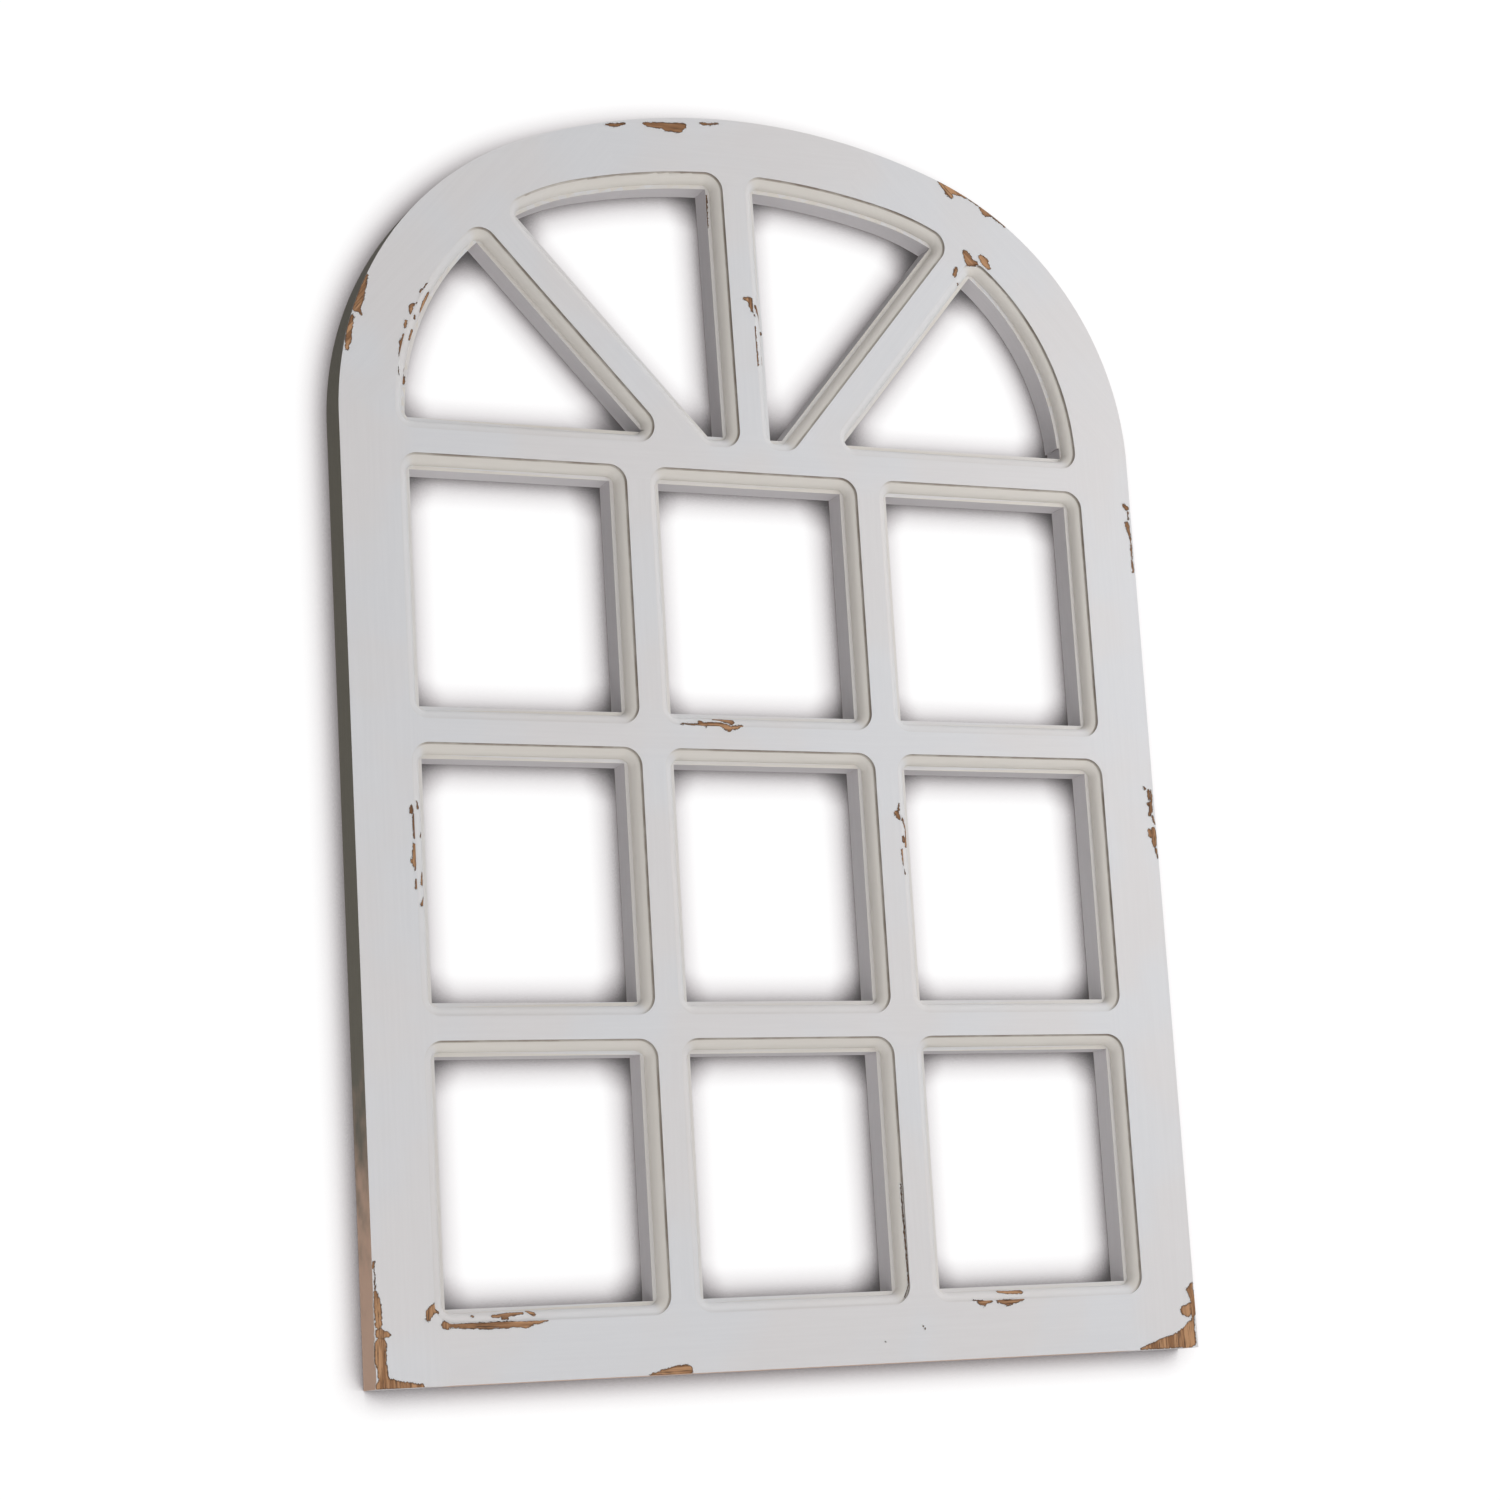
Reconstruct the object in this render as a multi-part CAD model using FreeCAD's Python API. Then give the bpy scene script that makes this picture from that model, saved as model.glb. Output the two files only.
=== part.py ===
import FreeCAD, Part
import math
import os

# Arched window frame in painted timber, open panes, hung on a wall. Millimetres.
# X runs to the right as seen from the room, +Z up, the room side faces -Y.
# The back of the frame lies in the plane Y = 0, the wall's face. Heights below are
# counted from the frame's foot; the finished pieces are set down by DATUM_Z, so that
# the origin lies on the back of the bottom rail.

V = FreeCAD.Vector

# Overall board
HALF_WIDTH = 280.0
THICKNESS = 25.0
STILE_FACE = 38.0          # flat from the outer edge to the moulding
BOTTOM_FACE = 36.0
DATUM_Z = 22.5

# Outer arch: two haunch curves that run into one flatter crown curve
SPRING_Z = 595.8
HAUNCH_R = 205.5
CROWN_R = 417.6

# Arch over the fan of four lights, at the outside of its moulding
FAN_CENTRE_X = -1.4
FAN_SPRING_Z = 597.4
FAN_HALF_WIDTH = HALF_WIDTH - STILE_FACE
FAN_HAUNCH_R = 171.4
FAN_CROWN_R = 461.0
FAN_SILL_Z = 589.5

# Nine square lights, sizes at the outside of the moulding
LIGHT_HEIGHT = 169.4
BAR_FACE = 15.6            # flat on an upright bar
CROSS_BAR_FACE = 14.8      # flat on a level bar
BAR_CENTRE_X = 81.6

# Spokes of the fan: where the centre line meets the transom, and its slope
SPOKE_FACE = 15.8
LEFT_SPOKE_FOOT_X = -50.7
LEFT_SPOKE_DEG = 132.1
CENTRE_SPOKE_FOOT_X = -0.1
CENTRE_SPOKE_DEG = 90.7
RIGHT_SPOKE_FOOT_X = 47.1
RIGHT_SPOKE_DEG = 50.0

# Moulding run round every light: a small step, a quarter round, a flat fillet
STEP_DEPTH = 1.5
OVOLO_R = 6.5
FILLET_WIDTH = 2.5
PANE_CORNER_R = 3.0

# Joinery
ARCH_JOINT_Z = 606.0       # stile meets haunch
CROWN_JOINT_DEG = 65.0     # haunch meets crown, slope of the joint
TENON_THICK = 8.0
TENON_LENGTH = 15.0
TENON_SHOULDER = 5.0
TENON_CLEARANCE = 0.1
LAP_CLEARANCE = 0.05
DOWEL_R = 4.0
DOWEL_CHAMFER = 0.7
DOWEL_LENGTH = 40.0
SPOKE_DOWEL_LENGTH = 30.0
DOWEL_CLEARANCE = 0.1
DOWEL_FROM_BACK = 11.5
DOWEL_END_GAP = 1.0
RAIL_DOWEL_INSET = 11.0    # dowel centre from the rail's edge
ARCH_DOWEL_INSET = 13.0    # dowel centre from the outer edge
ARCH_DOWEL_SPACING = 18.0

# Hanger: strap, loose ring and two screws in a pocket in each stile's back
POCKET_DEPTH = 8.0
POCKET_HALF_WIDTH = 14.0
POCKET_ABOVE = 26.0
POCKET_BELOW = 38.0
POCKET_CORNER_R = 6.0
HANGER_Z = 520.0
HANGER_FROM_EDGE = 22.0
WIRE_R = 1.5
RING_CLEARANCE = 0.08
RING_HALF_WIDTH = 8.0
RING_SIDE = 11.5
RING_CORNER_R = 2.0
STRAP_THICK = 1.2
STRAP_HALF_WIDTH = 5.5
STRAP_LENGTH = 33.0
STRAP_CORNER_R = 2.7
STRAP_SLIT = 0.5
SCREW_R = 1.5
SCREW_LENGTH = 12.0
SCREW_HEAD_R = 3.25
SCREW_HEAD_HEIGHT = 2.0
SCREW_HEAD_ROUND = 1.2
SCREW_HOLE_CLEARANCE = 0.25
SCREW_BITE_CLEARANCE = 0.05
SCREW_DROPS = (9.0, 27.0)  # below the ring's bar
RECESS_LENGTH = 3.6
RECESS_WIDTH = 0.8
RECESS_DEPTH = 1.2

# Worked out from the values above
MOULDING = FILLET_WIDTH + OVOLO_R
MOULDING_DEPTH = STEP_DEPTH + OVOLO_R
FRONT_Y = -THICKNESS
MIDDLE_Y = -THICKNESS / 2.0
DOWEL_Y = -DOWEL_FROM_BACK
STILE_WIDTH = STILE_FACE + MOULDING
INNER_X = HALF_WIDTH - STILE_WIDTH
BAR_HALF = BAR_FACE / 2.0 + MOULDING
SPOKE_HALF = SPOKE_FACE / 2.0 + MOULDING
PANE_HEIGHT = LIGHT_HEIGHT - 2.0 * MOULDING
CROSS_BAR_HEIGHT = CROSS_BAR_FACE + 2.0 * MOULDING
BOTTOM_TOP_Z = BOTTOM_FACE + MOULDING
LOWER_BAR_Z = BOTTOM_TOP_Z + PANE_HEIGHT
MIDDLE_PANE_Z = LOWER_BAR_Z + CROSS_BAR_HEIGHT
UPPER_BAR_Z = MIDDLE_PANE_Z + PANE_HEIGHT
UPPER_PANE_Z = UPPER_BAR_Z + CROSS_BAR_HEIGHT
TRANSOM_Z = UPPER_PANE_Z + PANE_HEIGHT
TRANSOM_TOP_Z = FAN_SILL_Z + MOULDING
HANGER_X = HALF_WIDTH - HANGER_FROM_EDGE
POCKET_FLOOR_Y = -POCKET_DEPTH
CURL_INNER_R = WIRE_R + RING_CLEARANCE
CURL_OUTER_R = CURL_INNER_R + STRAP_THICK
RING_Y = POCKET_FLOOR_Y + CURL_OUTER_R
STRAP_FACE_Y = POCKET_FLOOR_Y + STRAP_THICK
BIG = 4.0 * HALF_WIDTH     # reach of a cutting block past the frame
OVERCUT = 1.0              # a cutter starts this far outside the face it enters
SAME = 1e-4                # points nearer than this are one


def block(x0, x1, y0, y1, z0, z1):
    return Part.makeBox(x1 - x0, y1 - y0, z1 - z0, V(x0, y0, z0))


def board(x0, x1, z0, z1):
    return block(x0, x1, FRONT_Y, 0.0, z0, z1)


def polygon_face(points, y=0.0):
    corners = [V(x, y, z) for x, z in points]
    return Part.Face(Part.makePolygon(corners + corners[:1]))


def arch_face(centre_x, half_width, base_z, spring_z, haunch_r, crown_r):
    """Arch-headed face in the plane of the back: straight sides and three arcs."""
    offset = half_width - haunch_r
    drop = math.sqrt((crown_r - haunch_r) ** 2 - offset ** 2)
    crown_z = spring_z - drop
    angle = math.atan2(drop, offset)
    middle = angle / 2.0

    def haunch(side, turn):
        x = centre_x + side * (offset + haunch_r * math.cos(turn))
        return V(x, 0.0, spring_z + haunch_r * math.sin(turn))

    top = V(centre_x, 0.0, crown_z + crown_r)
    edges = [
        Part.LineSegment(V(centre_x - half_width, 0, base_z), V(centre_x + half_width, 0, base_z)),
        Part.LineSegment(V(centre_x + half_width, 0, base_z), haunch(1, 0.0)),
        Part.Arc(haunch(1, 0.0), haunch(1, middle), haunch(1, angle)),
        Part.Arc(haunch(1, angle), top, haunch(-1, angle)),
        Part.Arc(haunch(-1, angle), haunch(-1, middle), haunch(-1, 0.0)),
        Part.LineSegment(haunch(-1, 0.0), V(centre_x - half_width, 0, base_z)),
    ]
    return Part.Face(Part.Wire([edge.toShape() for edge in edges]))


def arch_crown_centre(half_width, spring_z, haunch_r, crown_r):
    offset = half_width - haunch_r
    return spring_z - math.sqrt((crown_r - haunch_r) ** 2 - offset ** 2)


def rounded(face):
    """The same face with its corners rounded to the pane's corner radius."""
    smaller = face.makeOffset2D(-PANE_CORNER_R)
    return smaller.makeOffset2D(PANE_CORNER_R)


def spoke_strip(foot_x, slope_deg, half):
    """Face along a spoke's centre line, half wide to each side."""
    slope = math.radians(slope_deg)
    along = (math.cos(slope), math.sin(slope))
    across = (-along[1], along[0])
    points = []
    for reach, side in ((-BIG, -half), (BIG, -half), (BIG, half), (-BIG, half)):
        x = foot_x + along[0] * reach + across[0] * side
        z = TRANSOM_TOP_Z + along[1] * reach + across[1] * side
        points.append((x, z))
    return polygon_face(points)


def light_cutter(face):
    """Everything cut away for one light: the pane and the moulding round it."""
    hole = face.copy()
    hole.translate(V(0, FRONT_Y - OVERCUT, 0))
    hole = hole.extrude(V(0, THICKNESS + 2.0 * OVERCUT, 0))
    wire = face.OuterWire.copy()
    wire.translate(V(0, FRONT_Y, 0))
    straight = [e for e in wire.Edges if e.Curve.TypeId == "Part::GeomLine"]
    edge = max(straight, key=lambda e: e.Length)
    start = edge.valueAt((edge.FirstParameter + edge.LastParameter) / 2.0)
    path = wire_from(wire, edge, start)
    out = outward(face, start, edge)

    def at(u, depth):
        return start + out * u + V(0, depth, 0)

    bend = OVOLO_R / math.sqrt(2.0)
    middle = at(MOULDING - bend, MOULDING_DEPTH - bend)
    inside = -FILLET_WIDTH / 2.0
    line = [
        Part.LineSegment(at(inside, -OVERCUT), at(inside, MOULDING_DEPTH)),
        Part.LineSegment(at(inside, MOULDING_DEPTH), at(FILLET_WIDTH, MOULDING_DEPTH)),
        Part.Arc(at(FILLET_WIDTH, MOULDING_DEPTH), middle, at(MOULDING, STEP_DEPTH)),
        Part.LineSegment(at(MOULDING, STEP_DEPTH), at(MOULDING, -OVERCUT)),
        Part.LineSegment(at(MOULDING, -OVERCUT), at(inside, -OVERCUT)),
    ]
    profile = Part.Wire([piece.toShape() for piece in line])
    groove = path.makePipeShell([profile], True, True)
    return hole.fuse(groove)


def wire_from(wire, edge, start):
    """The closed wire again, split so that it starts in the middle of one straight edge."""
    ordered = Part.__sortEdges__(wire.Edges)
    found = [e.CenterOfMass.isEqual(edge.CenterOfMass, SAME) for e in ordered]
    index = found.index(True)
    ring = ordered[index + 1:] + ordered[:index]
    chosen = ordered[index]
    ends = [vertex.Point for vertex in chosen.Vertexes]
    last, first = sorted(ends, key=lambda end: ring[0].distToShape(Part.Vertex(end))[0])
    pieces = [Part.LineSegment(start, last).toShape()]
    pieces += ring
    pieces.append(Part.LineSegment(first, start).toShape())
    return Part.Wire(pieces)


def outward(face, start, edge):
    """Unit vector in the face's plane, square to the edge and away from the pane."""
    along = edge.tangentAt(edge.FirstParameter)
    side = V(along.z, 0, -along.x)
    side.normalize()
    probe = start + side * OVERCUT
    if face.isInside(V(probe.x, 0, probe.z), SAME, True):
        side = side * -1.0
    return side


def cylinder(radius, length, middle, direction):
    unit = V(*direction)
    unit.normalize()
    return Part.makeCylinder(radius, length, middle - unit * (length / 2.0), unit)


class Dowel:
    def __init__(self, x, z, direction, length):
        self.middle = V(x, DOWEL_Y, z)
        self.direction = direction
        self.length = length

    def pin(self):
        pin = cylinder(DOWEL_R, self.length, self.middle, self.direction)
        rims = [e for e in pin.Edges if e.Curve.TypeId == "Part::GeomCircle"]
        return pin.makeChamfer(DOWEL_CHAMFER, rims)

    def hole(self):
        deep = self.length + 2.0 * DOWEL_END_GAP
        return cylinder(DOWEL_R + DOWEL_CLEARANCE, deep, self.middle, self.direction)


def ring_wire(x, z):
    """Loose ring hanging from its bar, which lies along X at height z."""
    w = RING_HALF_WIDTH
    c = RING_CORNER_R
    h = c / math.sqrt(2.0)

    def at(u, v):
        return V(x + u, RING_Y, z + v)

    low = -RING_SIDE
    pieces = [
        Part.LineSegment(at(0, 0), at(w - c, 0)),
        Part.Arc(at(w - c, 0), at(w - c + h, -c + h), at(w, -c)),
        Part.LineSegment(at(w, -c), at(w, low)),
        Part.Arc(at(w, low), at(0, low - w), at(-w, low)),
        Part.LineSegment(at(-w, low), at(-w, -c)),
        Part.Arc(at(-w, -c), at(-w + c - h, -c + h), at(-w + c, 0)),
        Part.LineSegment(at(-w + c, 0), at(0, 0)),
    ]
    path = Part.Wire([piece.toShape() for piece in pieces])
    section = Part.Wire(Part.makeCircle(WIRE_R, at(0, 0), V(1, 0, 0)))
    return path.makePipeShell([section], True, True)


def strap(x, z):
    length = 2.0 * STRAP_HALF_WIDTH
    left = x - STRAP_HALF_WIDTH
    plate = block(left, left + length, POCKET_FLOOR_Y, STRAP_FACE_Y, z - STRAP_LENGTH, z)
    foot = [e for e in plate.Edges if abs(e.BoundBox.ZMax - z + STRAP_LENGTH) < SAME]
    corners = [e for e in foot if e.BoundBox.YLength > STRAP_THICK / 2.0]
    plate = plate.makeFillet(STRAP_CORNER_R, corners)
    curl = Part.makeCylinder(CURL_OUTER_R, length, V(left, RING_Y, z), V(1, 0, 0))
    solid = plate.fuse(curl)
    solid = solid.cut(Part.makeCylinder(CURL_INNER_R, length, V(left, RING_Y, z), V(1, 0, 0)))
    slit_z = z - CURL_OUTER_R
    slit = block(left, left + length, STRAP_FACE_Y, STRAP_FACE_Y + STRAP_SLIT, slit_z, z)
    solid = solid.cut(slit)
    hole_r = SCREW_R + SCREW_HOLE_CLEARANCE
    for drop in SCREW_DROPS:
        foot = V(x, POCKET_FLOOR_Y, z - drop)
        solid = solid.cut(Part.makeCylinder(hole_r, STRAP_THICK, foot, V(0, 1, 0)))
    return solid.removeSplitter()


def screw(x, z):
    out = V(0, 1, 0)
    end_y = STRAP_FACE_Y - SCREW_LENGTH
    shank = Part.makeCylinder(SCREW_R, SCREW_LENGTH, V(x, end_y, z), out)
    tip = Part.makeCone(0.0, SCREW_R, SCREW_R, V(x, end_y - SCREW_R, z), out)
    head = Part.makeCylinder(SCREW_HEAD_R, SCREW_HEAD_HEIGHT, V(x, STRAP_FACE_Y, z), out)
    circles = [e for e in head.Edges if e.Curve.TypeId == "Part::GeomCircle"]
    rim = [e for e in circles if e.BoundBox.YMin > STRAP_FACE_Y + SAME]
    head = head.makeFillet(SCREW_HEAD_ROUND, rim)
    solid = shank.fuse([tip, head])
    top = STRAP_FACE_Y + SCREW_HEAD_HEIGHT
    deep = top - RECESS_DEPTH
    a = RECESS_LENGTH / 2.0
    b = RECESS_WIDTH / 2.0
    for half_x, half_z in ((a, b), (b, a)):
        slot = block(x - half_x, x + half_x, deep, top + OVERCUT, z - half_z, z + half_z)
        solid = solid.cut(slot)
    return solid.removeSplitter()


def screw_hole(x, z):
    deep = SCREW_LENGTH + SCREW_R
    foot = V(x, STRAP_FACE_Y - deep, z)
    return Part.makeCylinder(SCREW_R + SCREW_BITE_CLEARANCE, deep, foot, V(0, 1, 0))


def pocket(x, z):
    left = x - POCKET_HALF_WIDTH
    right = x + POCKET_HALF_WIDTH
    solid = block(left, right, POCKET_FLOOR_Y, OVERCUT, z - POCKET_BELOW, z + POCKET_ABOVE)
    upright = [e for e in solid.Edges if e.BoundBox.YLength > POCKET_DEPTH / 2.0]
    return solid.makeFillet(POCKET_CORNER_R, upright)


def minus(solid, tools):
    near = [tool for tool in tools if solid.BoundBox.intersect(tool.BoundBox)]
    if near:
        solid = solid.cut(near)
    return solid.removeSplitter()


def single(shape):
    """The one solid of a cut, without the compound round it."""
    return max(shape.Solids, key=lambda s: s.Volume)


# Outlines
outline = arch_face(0.0, HALF_WIDTH, 0.0, SPRING_Z, HAUNCH_R, CROWN_R)
pane_arch = arch_face(
    FAN_CENTRE_X,
    FAN_HALF_WIDTH - MOULDING,
    0.0,
    FAN_SPRING_Z,
    FAN_HAUNCH_R - MOULDING,
    FAN_CROWN_R - MOULDING,
)
below_fan = [(-BIG, -BIG), (BIG, -BIG), (BIG, TRANSOM_TOP_Z), (-BIG, TRANSOM_TOP_Z)]
pane_arch = pane_arch.cut(polygon_face(below_fan)).Faces[0]
body = outline.extrude(V(0, -THICKNESS, 0))
fan_body = pane_arch.extrude(V(0, -THICKNESS, 0))

# Lights
spokes = {
    "left_spoke": (LEFT_SPOKE_FOOT_X, LEFT_SPOKE_DEG),
    "centre_spoke": (CENTRE_SPOKE_FOOT_X, CENTRE_SPOKE_DEG),
    "right_spoke": (RIGHT_SPOKE_FOOT_X, RIGHT_SPOKE_DEG),
}
columns = (
    (-INNER_X, -BAR_CENTRE_X - BAR_HALF),
    (-BAR_CENTRE_X + BAR_HALF, BAR_CENTRE_X - BAR_HALF),
    (BAR_CENTRE_X + BAR_HALF, INNER_X),
)
rows = (BOTTOM_TOP_Z, MIDDLE_PANE_Z, UPPER_PANE_Z)
panes = []
for left, right in columns:
    for low in rows:
        high = low + PANE_HEIGHT
        panes.append(polygon_face([(left, low), (right, low), (right, high), (left, high)]))
fan = pane_arch.cut([spoke_strip(foot, deg, SPOKE_HALF) for foot, deg in spokes.values()])
panes += fan.Faces
cutters = [light_cutter(rounded(pane)) for pane in panes]


# Dowels: two at each end of the bottom rail and of the transom, two at each joint of the arch
dowels = []
for side in (-1, 1):
    joint_x = side * INNER_X
    for low, high in ((0.0, BOTTOM_TOP_Z), (TRANSOM_Z, TRANSOM_TOP_Z)):
        dowels.append(Dowel(joint_x, low + RAIL_DOWEL_INSET, (1, 0, 0), DOWEL_LENGTH))
        dowels.append(Dowel(joint_x, high - RAIL_DOWEL_INSET, (1, 0, 0), DOWEL_LENGTH))
    for inset in (ARCH_DOWEL_INSET, ARCH_DOWEL_INSET + ARCH_DOWEL_SPACING):
        dowels.append(Dowel(side * (HALF_WIDTH - inset), ARCH_JOINT_Z, (0, 0, 1), DOWEL_LENGTH))
    slope = math.radians(CROWN_JOINT_DEG)
    crown_z = arch_crown_centre(HALF_WIDTH, SPRING_Z, HAUNCH_R, CROWN_R)
    rise = SPRING_Z - crown_z
    reach = -rise * math.sin(slope) + math.sqrt(CROWN_R ** 2 - (rise * math.cos(slope)) ** 2)
    for inset in (ARCH_DOWEL_INSET, ARCH_DOWEL_INSET + ARCH_DOWEL_SPACING):
        out = reach - inset
        x = side * out * math.cos(slope)
        z = SPRING_Z + out * math.sin(slope)
        dowels.append(Dowel(x, z, (-side * math.sin(slope), 0, math.cos(slope)), DOWEL_LENGTH))

# One shorter dowel at each end of a spoke
spoke_dowels = []
for foot_x, slope_deg in spokes.values():
    slope = math.radians(slope_deg)
    along = (math.cos(slope), 0, math.sin(slope))
    far = V(foot_x + along[0] * BIG, MIDDLE_Y, TRANSOM_TOP_Z + along[2] * BIG)
    line = Part.LineSegment(V(foot_x, MIDDLE_Y, TRANSOM_TOP_Z), far).toShape()
    head = max(fan_body.common(line).Vertexes, key=lambda v: v.Z).Point
    spoke_dowels.append(Dowel(foot_x, TRANSOM_TOP_Z, along, SPOKE_DOWEL_LENGTH))
    spoke_dowels.append(Dowel(head.x, head.z, along, SPOKE_DOWEL_LENGTH))
holes = [dowel.hole() for dowel in dowels + spoke_dowels]

# Hangers
hangers = {"left": -HANGER_X, "right": HANGER_X}
pockets = [pocket(x, HANGER_Z) for x in hangers.values()]
screws = [screw(x, HANGER_Z - drop) for x in hangers.values() for drop in SCREW_DROPS]
screw_holes = [screw_hole(x, HANGER_Z - drop) for x in hangers.values() for drop in SCREW_DROPS]

# Blanks
tenon_half = TENON_THICK / 2.0
tenon_y = (MIDDLE_Y - tenon_half, MIDDLE_Y + tenon_half)
mortises = []


def cross_bar(low):
    """Level glazing bar with a tenon at each end; the back half is cut away where it laps."""
    high = low + CROSS_BAR_HEIGHT
    solid = board(-INNER_X, INNER_X, low, high)
    foot = low + TENON_SHOULDER
    head = high - TENON_SHOULDER
    for side in (-1, 1):
        ends = sorted((side * INNER_X, side * (INNER_X + TENON_LENGTH)))
        tenon = block(*ends, *tenon_y, foot, head)
        solid = solid.fuse(tenon)
        mortises.append(mortise(tenon))
    lap_y = MIDDLE_Y - LAP_CLEARANCE
    for centre in (-BAR_CENTRE_X, BAR_CENTRE_X):
        lap = block(centre - BAR_HALF, centre + BAR_HALF, lap_y, OVERCUT, low, high)
        solid = solid.cut(lap)
    return solid


def upright_bar(centre):
    """Upright glazing bar with a tenon at each end; the front half is cut away where it laps."""
    left = centre - BAR_HALF
    right = centre + BAR_HALF
    solid = board(left, right, BOTTOM_TOP_Z, TRANSOM_Z)
    for shoulder, side in ((BOTTOM_TOP_Z, -1), (TRANSOM_Z, 1)):
        ends = sorted((shoulder, shoulder + side * TENON_LENGTH))
        tenon = block(left + TENON_SHOULDER, right - TENON_SHOULDER, *tenon_y, *ends)
        solid = solid.fuse(tenon)
        mortises.append(mortise(tenon))
    for low in (LOWER_BAR_Z, UPPER_BAR_Z):
        lap = block(left, right, FRONT_Y - OVERCUT, MIDDLE_Y, low, low + CROSS_BAR_HEIGHT)
        solid = solid.cut(lap)
    return solid


def mortise(tenon):
    b = tenon.BoundBox
    c = TENON_CLEARANCE
    return block(b.XMin - c, b.XMax + c, b.YMin - c, b.YMax + c, b.ZMin - c, b.ZMax + c)


wedge_points = [(0.0, SPRING_Z)]
for side in (1, -1):
    slope = math.radians(CROWN_JOINT_DEG)
    wedge_points.append((side * BIG * math.cos(slope), SPRING_Z + BIG * math.sin(slope)))
wedge = polygon_face(wedge_points).extrude(V(0, -THICKNESS, 0))
ring = body.cut([fan_body, block(-BIG, BIG, FRONT_Y, 0.0, 0.0, ARCH_JOINT_Z)])
haunches = ring.cut(wedge)

members = {
    "left_stile": body.common(board(-HALF_WIDTH, -INNER_X, 0.0, ARCH_JOINT_Z)),
    "right_stile": body.common(board(INNER_X, HALF_WIDTH, 0.0, ARCH_JOINT_Z)),
    "bottom_rail": board(-INNER_X, INNER_X, 0.0, BOTTOM_TOP_Z),
    "transom": board(-INNER_X, INNER_X, TRANSOM_Z, TRANSOM_TOP_Z),
    "lower_cross_bar": cross_bar(LOWER_BAR_Z),
    "upper_cross_bar": cross_bar(UPPER_BAR_Z),
    "left_upright_bar": upright_bar(-BAR_CENTRE_X),
    "right_upright_bar": upright_bar(BAR_CENTRE_X),
    "left_haunch": haunches.common(block(-BIG, 0.0, FRONT_Y, 0.0, 0.0, BIG)),
    "right_haunch": haunches.common(block(0.0, BIG, FRONT_Y, 0.0, 0.0, BIG)),
    "crown": ring.common(wedge),
}
for name, (foot_x, slope_deg) in spokes.items():
    strip = spoke_strip(foot_x, slope_deg, SPOKE_HALF).extrude(V(0, -THICKNESS, 0))
    members[name] = fan_body.common(strip)

tools = {
    "left_stile": mortises + pockets + screw_holes,
    "right_stile": mortises + pockets + screw_holes,
    "bottom_rail": mortises,
    "transom": mortises,
}
os.makedirs("parts", exist_ok=True)
parts = {}
for name, blank in members.items():
    finished = minus(blank, cutters + holes + tools.get(name, []))
    parts[name] = single(finished)
parts["frame_dowels"] = Part.makeCompound([dowel.pin() for dowel in dowels])
parts["spoke_dowels"] = Part.makeCompound([dowel.pin() for dowel in spoke_dowels])
parts["hanger_screws"] = Part.makeCompound(screws)
for side, x in hangers.items():
    parts[side + "_hanger_strap"] = strap(x, HANGER_Z)
    parts[side + "_hanger_ring"] = ring_wire(x, HANGER_Z)

for name, shape in parts.items():
    shape.translate(V(0, 0, -DATUM_Z))
    shape.exportStep("parts/" + name + ".step")
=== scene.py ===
import math

import bmesh
import bpy
from mathutils import Matrix, Vector
from mathutils.bvhtree import BVHTree

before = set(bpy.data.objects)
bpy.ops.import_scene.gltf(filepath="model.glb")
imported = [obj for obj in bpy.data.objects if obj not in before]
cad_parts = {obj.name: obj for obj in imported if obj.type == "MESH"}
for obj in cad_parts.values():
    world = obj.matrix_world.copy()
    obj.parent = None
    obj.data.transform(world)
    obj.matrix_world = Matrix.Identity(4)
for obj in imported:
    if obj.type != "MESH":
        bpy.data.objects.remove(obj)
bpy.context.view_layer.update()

# The camera stands low and to the left of the frame and looks up to the right.
CAMERA_AT = Vector((-0.94496, -2.06327, -0.06273))
CAMERA_TURN_DEG = 24.532
CAMERA_TILT_DEG = 10.858
CAMERA_ROLL_DEG = 3.443
CAMERA_LENS = 85.82         # millimetres, and so is the sensor's width
CAMERA_SENSOR = 36.0
PHOTO_SIZE = 1500.0         # pixels along each side of the photo
PHOTO_MIDDLE = PHOTO_SIZE / 2.0
PHOTO_FOCAL = 3575.7        # the same lens in the photo's pixels, as fitted

MM = 1000.0                 # millimetres in a metre
FRONT_Y = -25.0             # millimetres, as all sizes of the paint and the wear are
STEP_Y = -23.5              # foot of the small step round every light
FILLET_Y = -17.0            # flat fillet inside the quarter round
WINDOW_SIDE = (0.85, 0.0, 0.53)    # the window's light comes from here, seen in the frame's plane

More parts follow.
